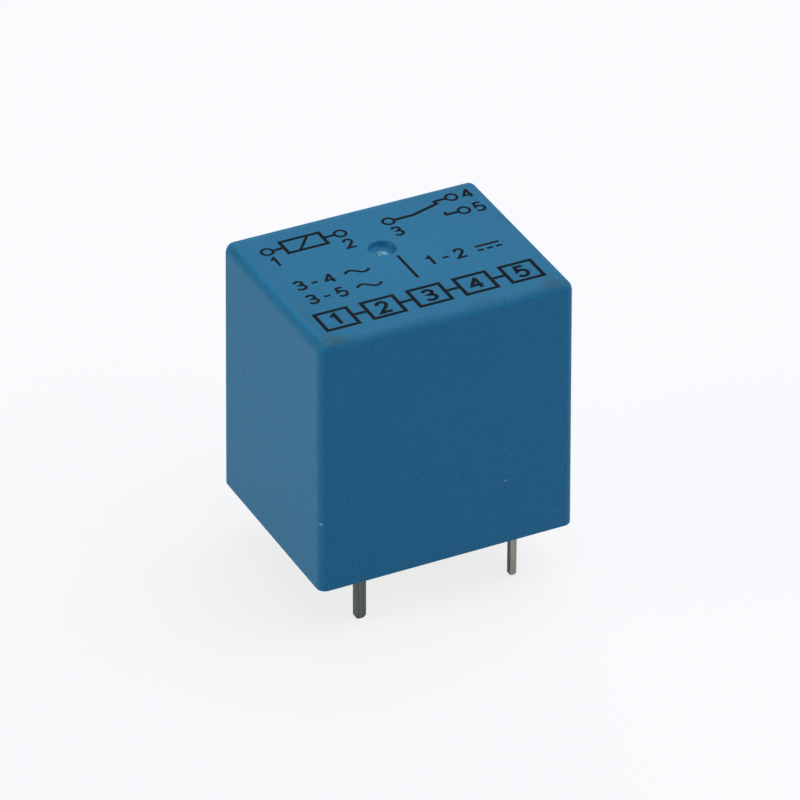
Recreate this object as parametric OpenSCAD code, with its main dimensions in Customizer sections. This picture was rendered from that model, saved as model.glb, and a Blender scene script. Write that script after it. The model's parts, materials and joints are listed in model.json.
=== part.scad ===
// Sealed power relay for a circuit board, with one changeover contact.
// Millimetres. The origin is the middle of the cover's rim, which sits on the board.
// +Z is up, -Y is the front, +X is the end with the coil pins and the common pin.

/* [Cover] */
// Length of the cover at its rim
cover_w = 19; // [18.6:0.1:20.5]
// Depth of the cover at its rim
cover_d = 15.3; // [15:0.1:17]
// Height of the cover from rim to top
cover_h = 19.2; // [17.5:0.1:22]
// Thickness of the side walls
cover_wall = 0.8; // [0.6:0.05:0.9]
// Thickness of the top wall
cover_top = 0.9; // [0.7:0.05:1.2]
// Draft of the side walls in degrees
draft = 0.4; // [0.1:0.05:0.7]
// Radius of the outer edges
edge_r = 0.6; // [0.4:0.05:0.8]
// Radius of the inner edges
inner_r = 0.3; // [0.15:0.05:0.5]
// Diameter of the dimple around the gate
dimple_d = 2; // [1.4:0.1:2.6]
// Depth of the dimple
dimple_depth = 0.35; // [0.2:0.05:0.5]
// How far the dimple's side leans in towards its floor
dimple_lean = 0.2; // [0.1:0.05:0.35]
// Place of the dimple along the cover
dimple_x = -0.2; // [-3:0.1:3]
// Place of the dimple across the cover
dimple_y = 2; // [-3:0.1:3]
// Diameter of the broken gate stub
gate_d = 0.8; // [0.4:0.05:0.9]
// Place of the gate stub along the cover, from the middle of the dimple
gate_dx = -0.1; // [-0.3:0.05:0.3]
// Place of the gate stub across the cover, from the middle of the dimple
gate_dy = -0.3; // [-0.4:0.05:0.4]
// Height of the gate stub above the dimple's floor
gate_h = 0.14; // [0.08:0.02:0.2]

/* [Base and seal] */
// Thickness of the base plate
base_t = 1.2; // [1:0.1:1.6]
// Height of the base plate's underside above the rim
base_recess = 1; // [0.8:0.05:1.4]
// Thickness of the cast resin under the base
seal_t = 0.7; // [0.5:0.05:0.75]
// Height of the terminal towers above the base plate
tower_h = 5; // [3:0.25:7]
// Thickness of the wall between coil and contacts
barrier_t = 0.5; // [0.4:0.05:0.6]

/* [Terminals] */
// Length of the pins below the rim
pin_len = 4; // [3:0.1:5]
// Distance of the contact pins from the cover's left end
contact_inset = 3.7; // [3.3:0.05:4]
// Distance of the coil pins from the cover's right end
coil_inset = 3.8; // [3.4:0.05:4.2]
// Distance of the front pins from the cover's front, and of the rear pins from its back
side_inset = 1.65; // [1.55:0.05:2]
// Width of the contact pins
contact_pin_w = 0.8; // [0.6:0.05:1]
// Width of the common pin
com_pin_w = 1; // [0.8:0.05:1.2]
// Thickness of the terminal strips
strip_t = 0.4; // [0.3:0.02:0.5]
// Width of the contact terminals above the base
riser_w = 2; // [1.6:0.05:2.1]
// Side of the square coil pins
coil_pin_s = 0.5; // [0.45:0.05:0.65]
// Radius of the corners at the tips of the strip pins
tip_r = 0.3; // [0.1:0.02:0.38]
// Chamfer at the tips of the coil pins
tip_chamfer = 0.15; // [0.05:0.01:0.2]

/* [Magnet] */
// Diameter of the iron core
core_d = 4; // [3.4:0.1:4.6]
// Diameter of the pole head
pole_d = 6.6; // [5.6:0.1:7.4]
// Thickness of the pole head
pole_t = 0.8; // [0.6:0.05:1]
// Thickness of the yoke
yoke_t = 1.3; // [1.1:0.05:1.5]
// Distance from the yoke's side to the middle of a coil pin
yoke_inset = 1.5; // [1.3:0.05:1.8]
// Thickness of the armature
armature_t = 1.2; // [1:0.05:1.4]
// Swing of the armature in degrees
swing = 3; // [2:0.1:3.6]

/* [Coil] */
// How far the bobbin's flanges stand past the winding
flange_lip = 0.35; // [0.2:0.05:0.8]
// Wall of the bobbin's barrel
barrel_wall = 0.5; // [0.4:0.05:0.7]
// Thickness of the bobbin's flanges
flange_t = 0.8; // [0.6:0.05:1]
// Diameter of the lead wires
wire_d = 0.14; // [0.1:0.02:0.2]

/* [Contacts] */
// Diameter of the contact rivet heads
contact_d = 2.4; // [2:0.1:2.5]
// Height of the contact rivet heads
head_h = 0.45; // [0.35:0.05:0.6]
// Height of the crown on the moving contact
crown_h = 0.15; // [0.1:0.01:0.2]
// Diameter of the contact rivet shanks
shank_d = 1.2; // [1:0.05:1.4]
// Thickness of the contact spring
leaf_t = 0.12; // [0.08:0.01:0.16]
// How far the armature stands past the contact spring on each side
leaf_inset = 0.7; // [0.4:0.05:1]
// Height of the spring's rivets above the base plate
root_h = 5; // [4.4:0.1:6]

/* [Hidden] */
$fn = 64;
// Clearance between the base and the cover's skirt, and between the core and the bobbin
fit_gap = 0.1;
// Clearance around a strip, pin, stake or rivet in its hole
slot_gap = 0.03;
// Clearance around a pin in the cast resin
resin_gap = 0.01;
// Clearance between the cover's end wall and the rivet heads at that end
end_gap = 0.25;
// Clearance between the cover's ceiling and the highest rivet
top_gap = 0.3;
// Clearance between contacts that touch
touch_gap = 0.02;
// Clearance under the armature on the yoke's edge
seat_gap = 0.02;
// Air gap that stays over the pole when the armature is pulled in
pole_gap = 0.04;
// Clearance between the bobbin's flange and the yoke, and between the flange and the barrier
yoke_gap = 0.1;
barrier_gap = 0.15;
// Room along the relay from the middle of the contacts to the barrier
contact_room = 1.23;
// Room over the barrier, under the open contact's rivet
barrier_room = 2;
// Thickness of the stake heads and of the upset rivet ends, and how far those stand past the shank
stake_t = 0.22;
rivet_lip = 0.35;
// Diameter of the stakes on yoke and armature, and of their heads
stake_d = 1.3;
stake_head_d = 2;
// Distance of the stakes from the middle plane, and of the armature's stakes from the core's axis
stake_y = 1.7;
stake_dx = 1.4;
// Margin of strip or leaf around a rivet or stake
pad_lip = 0.3;
root_lip = 1.5;
// Inner radius of the bends in strips, in the yoke and in the spring
strip_bend = 0.4;
yoke_bend = 0.3;
leaf_bend = 1.2;
// Bends are a hair thicker and narrower than the straight stretches, which run a little way into them
hair = 0.004;
lap = 0.05;
// Half width of the armature's tongue, and the window for it in the spring
tongue_y = 2.2;
window_gap = 0.25;
window_h = 1.6;
// How far the armature reaches past the pole, and how far its shoulders stay back from the bend
pole_lip = 0.6;
shoulder_gap = 0.6;
// Where the spring narrows from the armature's width to the contact's
taper_in = 0.8;
taper_out = 0.9;
// How far the yoke's foot reaches past the core
foot_lip = 1.8;
// Chamfers of the pole head and of the fixed contacts
pole_chamfer = 0.15;
contact_chamfer = 0.12;
// Radius of the bobbin's flange corners, and how far the flanges stand past the yoke's sides
flange_corner = 1;
flange_side = 0.55;
// Wall of the bobbin's bosses around the coil pins, their height over the flange, and their gap to the yoke
boss_wall = 0.6;
boss_rise = 0.4;
boss_gap = 0.5;
boss_trim = 0.2;
// Solder on the coil pins: height, thickness over the pin, and the bare end above it
solder_h = 1.3;
solder_wall = 0.35;
pin_end = 0.2;
// Where the front lead leaves the winding, above the flange, and how much higher the rear lead leaves it
lead_rise = 0.3;
lead_step = 0.4;
// Walls of the towers around the terminals, and how far they stay back from the base's edge
tower_wall = 0.5;
tower_back = 0.1;
tower_in = 0.7;
// Cheeks on the base beside the yoke's foot
cheek_t = 0.4;
cheek_trim = 0.1;
// How deep a piece of the base is rooted in its plate
root_in = 0.2;
// How deep the gate stub is rooted in the top wall
gate_root = 0.15;
// Overlap that makes a cut pass clean through
cut = 1;

ceiling_z = cover_h - cover_top;
floor_z = base_recess + base_t;
contact_x = contact_inset - cover_w / 2;
coil_pin_x = cover_w / 2 - coil_inset;
pin_y = cover_d / 2 - side_inset;
function inner_w(z) = cover_w - 2 * cover_wall - 2 * z * tan(draft);
function inner_d(z) = cover_d - 2 * cover_wall - 2 * z * tan(draft);
base_w = inner_w(floor_z) - 2 * fit_gap;
base_d = inner_d(floor_z) - 2 * fit_gap;

// The stack at the coil end, from the cover's wall inwards: stake head, spring, common strip, yoke
leaf_x = inner_w(ceiling_z) / 2 - end_gap - stake_t - leaf_t;
yoke_x = leaf_x - strip_t;
yoke_in_x = yoke_x - yoke_t;
yoke_y = pin_y - yoke_inset;
leaf_y = yoke_y - leaf_inset;

// The bobbin fills the room between the yoke and the barrier
barrier_x = contact_x + contact_room;
flange_x = (yoke_in_x - yoke_gap - barrier_x - barrier_t - barrier_gap) / 2;
flange_y = yoke_y + flange_side;
coil_r = min(flange_x, flange_y) - flange_lip;
coil_x = yoke_in_x - yoke_gap - flange_x;
barrel_r = core_d / 2 + fit_gap + barrel_wall;

// The contacts, from the ceiling down, and the pivot that brings the moving contact between them
crown_r = (contact_d * contact_d / 4 + crown_h * crown_h) / (2 * crown_h);
lever = yoke_x - contact_x;
crown_c = seat_gap + armature_t + leaf_t + head_h - crown_r;
nc_arm_z = ceiling_z - top_gap - stake_t - strip_t;
nc_face_z = nc_arm_z - head_h;
pivot_z = nc_face_z - touch_gap - crown_r - lever * sin(swing) - crown_c * cos(swing);
leaf_z = pivot_z + seat_gap + armature_t;
no_face_z = leaf_z - head_h - touch_gap;
no_arm_z = no_face_z - head_h - strip_t;
pad_r = contact_d / 2 + pad_lip;
barrier_z = no_arm_z - stake_t - barrier_room;

// The magnet, from the pivot down to the base
pole_z = pivot_z + seat_gap - pole_gap;
bobbin_z = floor_z + yoke_t;
bobbin_top = pole_z - pole_t;
winding_z = bobbin_z + flange_t;
winding_h = bobbin_top - flange_t - winding_z;
spigot_r = 0.35 * core_d;
armature_x = coil_x - pole_d / 2 - pole_lip;
shoulder_x = leaf_x - leaf_bend - shoulder_gap;
armature_stake_x = coil_x - stake_dx;
root_z = floor_z + root_h;

// The coil pins, their bosses on the bobbin, and the solder above
boss_w = coil_pin_s + 2 * boss_wall;
boss_top = winding_z + boss_rise;
solder_d = coil_pin_s + 2 * solder_wall;

// A ball that reaches its full radius along every axis
module corner_ball(r) {
  rotate_extrude($fn = 32) intersection() {
    circle(r, $fn = 32);
    translate([0, -r]) square([r, 2 * r]);
  }
}

// A drafted block with round upright and top edges; w and d are its sizes at the rim
module drafted_block(w, d, z0, z1, r) {
  function inset(z) = z * tan(draft);
  hull() for (sx = [-1, 1], sy = [-1, 1]) {
    translate([sx * (w / 2 - r - inset(z0)), sy * (d / 2 - r - inset(z0)), z0])
      cylinder(r = r, h = 0.01, $fn = 32);
    translate([sx * (w / 2 - r - inset(z1)), sy * (d / 2 - r - inset(z1)), z1 - r])
      corner_ball(r);
  }
}

// A plate with round upright corners
module round_plate(w, d, t, r) {
  translate([-w / 2 + r, -d / 2, 0]) cube([w - 2 * r, d, t]);
  translate([-w / 2, -d / 2 + r, 0]) cube([w, d - 2 * r, t]);
  for (sx = [-1, 1], sy = [-1, 1])
    translate([sx * (w / 2 - r), sy * (d / 2 - r), 0]) cylinder(r = r, h = t);
}

// A box from its least to its greatest corner
module span(a, b) {
  translate(a) cube(b - a);
}

// A bend in sheet of inner radius r and thickness t, w wide along +Z, turning from the +X axis
module sheet_bend(r, t, w, turn) {
  reach = 3 * (r + t);
  translate([0, 0, hair]) intersection() {
    difference() {
      cylinder(r = r + t + hair, h = w - 2 * hair);
      translate([0, 0, -cut]) cylinder(r = r - hair, h = w + 2 * cut);
    }
    translate([0, 0, -cut]) linear_extrude(w + 2 * cut)
      polygon([[0, 0], [reach, 0], [reach, reach], [reach * cos(turn), reach * sin(turn)]]);
  }
}

// Turns a piece drawn with the armature pulled in to where it rests, released
module released() {
  translate([yoke_x, 0, pivot_z]) rotate([0, swing, 0]) translate([-yoke_x, 0, -pivot_z]) children();
}

module cover() {
  flare = dimple_lean * cut / dimple_depth;
  color("steelblue") {
    difference() {
      drafted_block(cover_w, cover_d, 0, cover_h, edge_r);
      drafted_block(cover_w - 2 * cover_wall, cover_d - 2 * cover_wall, -cut, ceiling_z, inner_r);
      translate([dimple_x, dimple_y, cover_h - dimple_depth])
        cylinder(d1 = dimple_d - 2 * dimple_lean, d2 = dimple_d + 2 * flare, h = dimple_depth + cut);
    }
    translate([dimple_x + gate_dx, dimple_y + gate_dy, cover_h - dimple_depth - gate_root])
      cylinder(d = gate_d, h = gate_root + gate_h);
  }
}

// The five places where metal passes through base and seal, each g wider all round
module pin_holes(z0, z1, g) {
  for (s = [-1, 1]) {
    span([contact_x - contact_pin_w / 2 - g, s * pin_y - strip_t / 2 - g, z0],
      [contact_x + contact_pin_w / 2 + g, s * pin_y + strip_t / 2 + g, z1]);
    span([coil_pin_x - coil_pin_s / 2 - g, s * pin_y - coil_pin_s / 2 - g, z0],
      [coil_pin_x + coil_pin_s / 2 + g, s * pin_y + coil_pin_s / 2 + g, z1]);
  }
  span([yoke_x - g, -com_pin_w / 2 - g, z0], [leaf_x + g, com_pin_w / 2 + g, z1]);
}

module base() {
  tower_w = riser_w + 2 * tower_wall;
  tower_y0 = pin_y - tower_in;
  tower_y1 = base_d / 2 - tower_back;
  cheek_y = yoke_y + slot_gap;
  color("dimgray") difference() {
    union() {
      translate([0, 0, base_recess]) round_plate(base_w, base_d, base_t, inner_r);
      for (s = [0, 1]) mirror([0, s, 0]) {
        // tower around a contact terminal
        span([contact_x - tower_w / 2, tower_y0, floor_z - root_in],
          [contact_x + tower_w / 2, tower_y1, floor_z + tower_h]);
        // low cheek beside the yoke's foot
        span([coil_x - flange_x, cheek_y, floor_z - root_in],
          [coil_x + core_d / 2, cheek_y + cheek_t, bobbin_z - cheek_trim]);
      }
      // wall between coil and contacts
      span([barrier_x, -tower_y0 - root_in, floor_z - root_in],
        [barrier_x + barrier_t, tower_y0 + root_in, barrier_z]);
    }
    pin_holes(-cut, floor_z + cut, slot_gap);
    for (s = [-1, 1])
      span([contact_x - riser_w / 2 - slot_gap, s * pin_y - strip_t / 2 - slot_gap, floor_z],
        [contact_x + riser_w / 2 + slot_gap, s * pin_y + strip_t / 2 + slot_gap, floor_z + tower_h + cut]);
  }
}

module epoxy_seal() {
  w = inner_w(base_recess) - 2 * slot_gap;
  d = inner_d(base_recess) - 2 * slot_gap;
  color("darkslategray") difference() {
    translate([0, 0, base_recess - seal_t]) round_plate(w, d, seal_t, inner_r);
    pin_holes(-cut, base_recess + cut, resin_gap);
  }
}

module bobbin() {
  boss_y0 = yoke_y + boss_gap;
  boss_y1 = pin_y + boss_w / 2 - boss_trim;
  color("ivory") difference() {
    union() {
      for (z = [bobbin_z, bobbin_top - flange_t])
        translate([coil_x, 0, z]) round_plate(2 * flange_x, 2 * flange_y, flange_t, flange_corner);
      translate([coil_x, 0, bobbin_z]) cylinder(r = barrel_r, h = bobbin_top - bobbin_z);
      for (s = [0, 1]) mirror([0, s, 0]) {
        // boss that holds a coil pin, beside the yoke
        span([coil_pin_x - boss_w / 2, boss_y0, floor_z], [coil_pin_x + boss_w / 2, boss_y1, boss_top]);
        // bridge from the flange to the boss
        span([coil_pin_x - boss_w, yoke_y - boss_gap, bobbin_z],
          [yoke_in_x - 2 * yoke_gap, boss_y0 + boss_gap, bobbin_z + flange_t]);
      }
    }
    translate([coil_x, 0, bobbin_z - cut]) cylinder(d = core_d + 2 * fit_gap, h = cover_h);
    for (s = [-1, 1])
      translate([coil_pin_x, s * pin_y, cover_h / 2])
        cube([coil_pin_s + 2 * slot_gap, coil_pin_s + 2 * slot_gap, cover_h + cut], center = true);
  }
}

module coil_winding() {
  h = winding_h - 2 * slot_gap;
  swell = 4 * h;
  color("peru") translate([coil_x, 0, winding_z + slot_gap]) rotate_extrude() intersection() {
    translate([barrel_r + slot_gap, 0]) square([coil_r - barrel_r - slot_gap, h]);
    translate([coil_r - swell, h / 2]) circle(swell, $fn = 256);
  }
}

module core() {
  color("silver") translate([coil_x, 0, 0]) rotate_extrude() polygon([
    [0, floor_z], [spigot_r, floor_z], [spigot_r, bobbin_z], [core_d / 2, bobbin_z],
    [core_d / 2, bobbin_top], [pole_d / 2, bobbin_top], [pole_d / 2, pole_z - pole_chamfer],
    [pole_d / 2 - pole_chamfer, pole_z], [0, pole_z]]);
}

// A stake on yoke or armature: it stands on a face at z = 0, passes t of strip and leaf, and ends in a head
module stake(t) {
  rotate_extrude() polygon([[0, -root_in], [stake_d / 2, -root_in], [stake_d / 2, t], [stake_head_d / 2, t],
    [stake_head_d / 2, t + stake_t], [0, t + stake_t]]);
}

module yoke() {
  r = yoke_bend + yoke_t;
  foot_x = coil_x - core_d / 2 - foot_lip;
  color("lightgray") difference() {
    union() {
      span([foot_x, -yoke_y, floor_z], [yoke_x - r + lap, yoke_y, floor_z + yoke_t]);
      span([yoke_in_x, -yoke_y, floor_z + r - lap], [yoke_x, yoke_y, pivot_z]);
      translate([yoke_x - r, -yoke_y, floor_z + r]) rotate([-90, 0, 0])
        sheet_bend(yoke_bend, yoke_t, 2 * yoke_y, 90);
      for (s = [-1, 1]) translate([yoke_x, s * stake_y, root_z]) rotate([0, 90, 0]) stake(strip_t + leaf_t);
    }
    translate([coil_x, 0, floor_z - cut]) cylinder(r = spigot_r + slot_gap, h = yoke_t + 2 * cut);
  }
}

module armature() {
  z = pivot_z + seat_gap;
  color("gainsboro") released() {
    span([armature_x, -yoke_y, z], [shoulder_x, yoke_y, z + armature_t]);
    span([shoulder_x - cut, -tongue_y, z], [yoke_x, tongue_y, z + armature_t]);
    for (s = [-1, 1]) translate([armature_stake_x, s * stake_y, z + armature_t]) stake(leaf_t);
  }
}

module contact_spring() {
  arc_x = leaf_x - leaf_bend;
  arc_z = pivot_z + (seat_gap + armature_t - leaf_bend - sin(swing) * (arc_x - yoke_x)) / cos(swing);
  bend_x = yoke_x + (arc_x - yoke_x) * cos(swing) - (arc_z - pivot_z) * sin(swing);
  window_y = tongue_y + window_gap;
  color("goldenrod") difference() {
    union() {
      // upright leg on the common strip
      span([leaf_x, -leaf_y, root_z - root_lip], [leaf_x + leaf_t, leaf_y, arc_z + lap]);
      // bend over the hinge
      translate([arc_x, leaf_y, arc_z]) rotate([90, 0, 0])
        sheet_bend(leaf_bend, leaf_t, 2 * leaf_y, 90 - swing);
      // leaf over the armature and out to the moving contact
      released() translate([0, 0, leaf_z]) linear_extrude(leaf_t) {
        polygon([[bend_x + lap, -leaf_y], [bend_x + lap, leaf_y], [armature_x + taper_in, leaf_y],
          [armature_x - taper_out, pad_r], [contact_x, pad_r], [contact_x, -pad_r],
          [armature_x - taper_out, -pad_r], [armature_x + taper_in, -leaf_y]]);
        translate([contact_x, 0]) circle(pad_r);
      }
    }
    // window for the armature's tongue, up the leg and over the bend
    span([shoulder_x - shoulder_gap, -window_y, arc_z - window_h], [leaf_x + cut, window_y, leaf_z + cut]);
    for (s = [-1, 1]) {
      translate([leaf_x - cut, s * stake_y, root_z]) rotate([0, 90, 0])
        cylinder(d = stake_d + 2 * slot_gap, h = 2 * cut + leaf_t);
      released() translate([armature_stake_x, s * stake_y, leaf_z - cut])
        cylinder(d = stake_d + 2 * slot_gap, h = 2 * cut + leaf_t);
    }
    released() translate([contact_x, 0, leaf_z - cut])
      cylinder(d = shank_d + 2 * slot_gap, h = 2 * cut + leaf_t);
  }
}

module moving_contact() {
  r = contact_d / 2;
  color("lightsteelblue") released() translate([contact_x, 0, leaf_z]) rotate_extrude() intersection() {
    polygon([[0, -head_h], [r, -head_h], [r, 0], [shank_d / 2, 0], [shank_d / 2, leaf_t], [r, leaf_t],
      [r, leaf_t + head_h], [0, leaf_t + head_h]]);
    translate([0, leaf_t + head_h - crown_r]) circle(crown_r, $fn = 256);
    translate([0, crown_r - head_h]) circle(crown_r, $fn = 256);
  }
}

// The lower end of a strip pin w wide along X, with round corners; the strip is on the +Y side
module strip_tip(w) {
  translate([tip_r - w / 2, 0, -pin_len]) cube([w - 2 * tip_r, strip_t, tip_r + lap]);
  for (s = [-1, 1]) translate([s * (w / 2 - tip_r), strip_t, tip_r - pin_len]) rotate([90, 0, 0])
    cylinder(r = tip_r, h = strip_t);
}

module com_terminal() {
  color("darkkhaki") difference() {
    union() {
      span([yoke_x, -com_pin_w / 2, tip_r - pin_len], [leaf_x, com_pin_w / 2, root_z]);
      translate([leaf_x, 0, 0]) rotate([0, 0, 90]) strip_tip(com_pin_w);
      span([yoke_x, -stake_y - root_lip, root_z - root_lip], [leaf_x, stake_y + root_lip, root_z + root_lip]);
    }
    for (s = [-1, 1]) translate([yoke_x - cut, s * stake_y, root_z]) rotate([0, 90, 0])
      cylinder(d = stake_d + 2 * slot_gap, h = strip_t + 2 * cut);
  }
}

// A contact terminal at the rear: pin, riser, bend and an arm over to the contact, its underside at arm_z
module contact_terminal(arm_z) {
  r = strip_bend + strip_t;
  y1 = pin_y + strip_t / 2;
  difference() {
    union() {
      span([contact_x - contact_pin_w / 2, y1 - strip_t, tip_r - pin_len],
        [contact_x + contact_pin_w / 2, y1, floor_z + cut]);
      translate([contact_x, y1 - strip_t, 0]) strip_tip(contact_pin_w);
      span([contact_x - riser_w / 2, y1 - strip_t, floor_z],
        [contact_x + riser_w / 2, y1, arm_z + strip_t - r + lap]);
      translate([contact_x - riser_w / 2, y1 - r, arm_z + strip_t - r]) rotate([90, 0, 90])
        sheet_bend(strip_bend, strip_t, riser_w, 90);
      span([contact_x - riser_w / 2, 0, arm_z], [contact_x + riser_w / 2, y1 - r + lap, arm_z + strip_t]);
      translate([contact_x, 0, arm_z]) cylinder(r = pad_r, h = strip_t);
    }
    translate([contact_x, 0, arm_z - cut]) cylinder(d = shank_d + 2 * slot_gap, h = strip_t + 2 * cut);
  }
}

module no_terminal() {
  color("khaki") mirror([0, 1, 0]) contact_terminal(no_arm_z);
}

module nc_terminal() {
  color("khaki") contact_terminal(nc_arm_z);
}

// A fixed contact rivet: flat head up on an arm whose underside is at z = 0
module fixed_rivet() {
  r = contact_d / 2;
  rotate_extrude() polygon([[0, -stake_t], [shank_d / 2 + rivet_lip, -stake_t], [shank_d / 2 + rivet_lip, 0],
    [shank_d / 2, 0], [shank_d / 2, strip_t], [r, strip_t], [r, strip_t + head_h - contact_chamfer],
    [r - contact_chamfer, strip_t + head_h], [0, strip_t + head_h]]);
}

module no_contact() {
  color("lightsteelblue") translate([contact_x, 0, no_arm_z]) fixed_rivet();
}

module nc_contact() {
  color("lightsteelblue") translate([contact_x, 0, nc_arm_z + strip_t]) mirror([0, 0, 1]) fixed_rivet();
}

// The rear coil pin, a square wire with a chamfered tip, held in the bobbin's boss
module coil_pin() {
  s = coil_pin_s / 2;
  b = tip_chamfer;
  difference() {
    translate([coil_pin_x, pin_y, 0]) span([-s, -s, -pin_len], [s, s, boss_top + solder_h + pin_end]);
    for (a = [0, 90, 180, 270]) translate([coil_pin_x, pin_y, -pin_len]) rotate([90, 0, a])
      translate([0, 0, -cut]) linear_extrude(2 * cut)
        polygon([[s + cut, b + cut], [s - b - cut, -cut], [s + cut, -cut]]);
  }
}

module coil_pin_front() {
  color("gray") mirror([0, 1, 0]) coil_pin();
}

module coil_pin_rear() {
  color("gray") coil_pin();
}

// A lead wire to the rear pin, straight from its tangent on the winding to the solder on the pin
module coil_lead(rise) {
  r = coil_r + wire_d / 2 + slot_gap;
  to_pin = norm([coil_pin_x - coil_x, pin_y]);
  a = atan2(pin_y, coil_pin_x - coil_x) - acos(r / to_pin);
  start = [coil_x + r * cos(a), r * sin(a), winding_z + rise];
  end = [coil_pin_x, pin_y, boss_top + solder_h / 2];
  run = end - start;
  length = norm(run);
  translate(start) rotate([0, acos(run[2] / length), atan2(run[1], run[0])])
    cylinder(d = wire_d, h = length - solder_d / 2 - slot_gap);
}

module coil_lead_front() {
  color("sienna") mirror([0, 1, 0]) coil_lead(lead_rise);
}

module coil_lead_rear() {
  color("sienna") coil_lead(lead_rise + lead_step);
}

// Solder over the wire's turns on the rear coil pin
module solder() {
  r = solder_d / 2;
  translate([coil_pin_x, pin_y, boss_top]) difference() {
    rotate_extrude() polygon([[0, 0], [r - solder_wall / 2, 0], [r, solder_h / 3], [r, solder_h / 2],
      [r - solder_wall / 3, 0.8 * solder_h], [r - solder_wall / 1.5, solder_h], [0, solder_h]]);
    translate([0, 0, solder_h / 2]) cube([coil_pin_s, coil_pin_s, solder_h + cut], center = true);
  }
}

module solder_front() {
  color("lightgray") mirror([0, 1, 0]) solder();
}

module solder_rear() {
  color("lightgray") solder();
}

cover();
base();
epoxy_seal();
bobbin();
coil_winding();
core();
yoke();
armature();
contact_spring();
moving_contact();
com_terminal();
no_terminal();
nc_terminal();
no_contact();
nc_contact();
coil_pin_front();
coil_pin_rear();
coil_lead_front();
coil_lead_rear();
solder_front();
solder_rear();
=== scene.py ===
import json
import math
import random

import bmesh
import bpy
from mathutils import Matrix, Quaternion, Vector


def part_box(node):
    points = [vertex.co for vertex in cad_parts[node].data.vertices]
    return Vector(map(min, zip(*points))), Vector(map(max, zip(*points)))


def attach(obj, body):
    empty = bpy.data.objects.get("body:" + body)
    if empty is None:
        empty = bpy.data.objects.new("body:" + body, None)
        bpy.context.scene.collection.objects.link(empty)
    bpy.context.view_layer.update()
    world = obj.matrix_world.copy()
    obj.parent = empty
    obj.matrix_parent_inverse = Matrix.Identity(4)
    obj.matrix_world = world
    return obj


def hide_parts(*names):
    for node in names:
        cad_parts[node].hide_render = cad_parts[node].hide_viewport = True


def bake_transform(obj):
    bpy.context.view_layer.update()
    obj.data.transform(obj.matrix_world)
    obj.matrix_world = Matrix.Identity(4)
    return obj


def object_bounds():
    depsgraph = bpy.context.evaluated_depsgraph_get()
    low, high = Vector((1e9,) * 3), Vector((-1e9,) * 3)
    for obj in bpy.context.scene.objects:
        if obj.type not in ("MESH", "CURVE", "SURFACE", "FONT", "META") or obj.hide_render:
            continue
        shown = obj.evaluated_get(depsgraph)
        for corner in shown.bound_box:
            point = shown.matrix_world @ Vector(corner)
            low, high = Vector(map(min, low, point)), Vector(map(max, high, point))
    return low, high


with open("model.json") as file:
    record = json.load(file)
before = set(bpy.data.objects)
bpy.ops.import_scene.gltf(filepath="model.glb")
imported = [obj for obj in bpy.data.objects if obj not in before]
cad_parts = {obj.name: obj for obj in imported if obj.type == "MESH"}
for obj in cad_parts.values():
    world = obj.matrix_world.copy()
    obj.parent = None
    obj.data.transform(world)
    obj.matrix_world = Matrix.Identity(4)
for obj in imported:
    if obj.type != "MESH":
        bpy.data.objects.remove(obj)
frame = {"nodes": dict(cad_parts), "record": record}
cad_low, cad_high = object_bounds()


# Bobbin: the spool that carries the winding and the two coil pins.
# Natural glass-filled PBT, injection moulded in one piece, so its edges are a little soft.

# sizes are in millimetres and angles in degrees, unless a comment says otherwise
MM = 0.001
SAME_POINT = 0.001
BOBBIN_EDGE, EDGE_FROM = 0.06, 40


def linear(code):
    """A colour written as sRGB hex, as linear red, green, blue and alpha."""
    channels = [int(code[i:i + 2], 16) / 255 for i in (1, 3, 5)]
    return [c / 12.92 if c <= 0.04045 else ((c + 0.055) / 1.055) ** 2.4 for c in channels] + [1]


def add(tree, kind, inputs=None, **settings):
    """A new node with its settings; an input takes a value, or the socket that is linked to it."""
    node = tree.nodes.new("ShaderNode" + kind)
    for name, value in settings.items():
        setattr(node, name, value)
    for name, value in (inputs or {}).items():
        if isinstance(value, bpy.types.NodeSocket):
            tree.links.new(value, node.inputs[name])
        else:
            node.inputs[name].default_value = value
    return node


def new_finish(name):
    """An empty material, its tree, and the place on the piece in millimetres."""
    material = bpy.data.materials.new(name)
    material.use_nodes = True
    tree = material.node_tree
    tree.nodes.clear()
    place = add(tree, "TexCoord")
    place_mm = add(tree, "VectorMath", {0: place.outputs["Object"], "Scale": 1 / MM}, operation="SCALE")
    return material, tree, place_mm.outputs[0]


def keep_flat(piece):
    """Lets the large faces of a piece lead its shading, so that they look flat up to their soft edges."""
    flat = piece.modifiers.new("flat_faces", "WEIGHTED_NORMAL")
    flat.keep_sharp = True


def dress(node, material, edge):
    """Gives a CAD node its finish, and takes the sharpness off its edges by so many millimetres."""
    piece = frame["nodes"][node]
    piece.data.materials.clear()
    piece.data.materials.append(material)
    weld = piece.modifiers.new("one_skin", "WELD")
    weld.merge_threshold = SAME_POINT * MM
    if edge:
        bevel = piece.modifiers.new("soft_edge", "BEVEL")
        bevel.width = edge * MM
        bevel.segments = 2
        bevel.limit_method = "ANGLE"
        bevel.angle_limit = math.radians(EDGE_FROM)
    keep_flat(piece)


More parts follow.
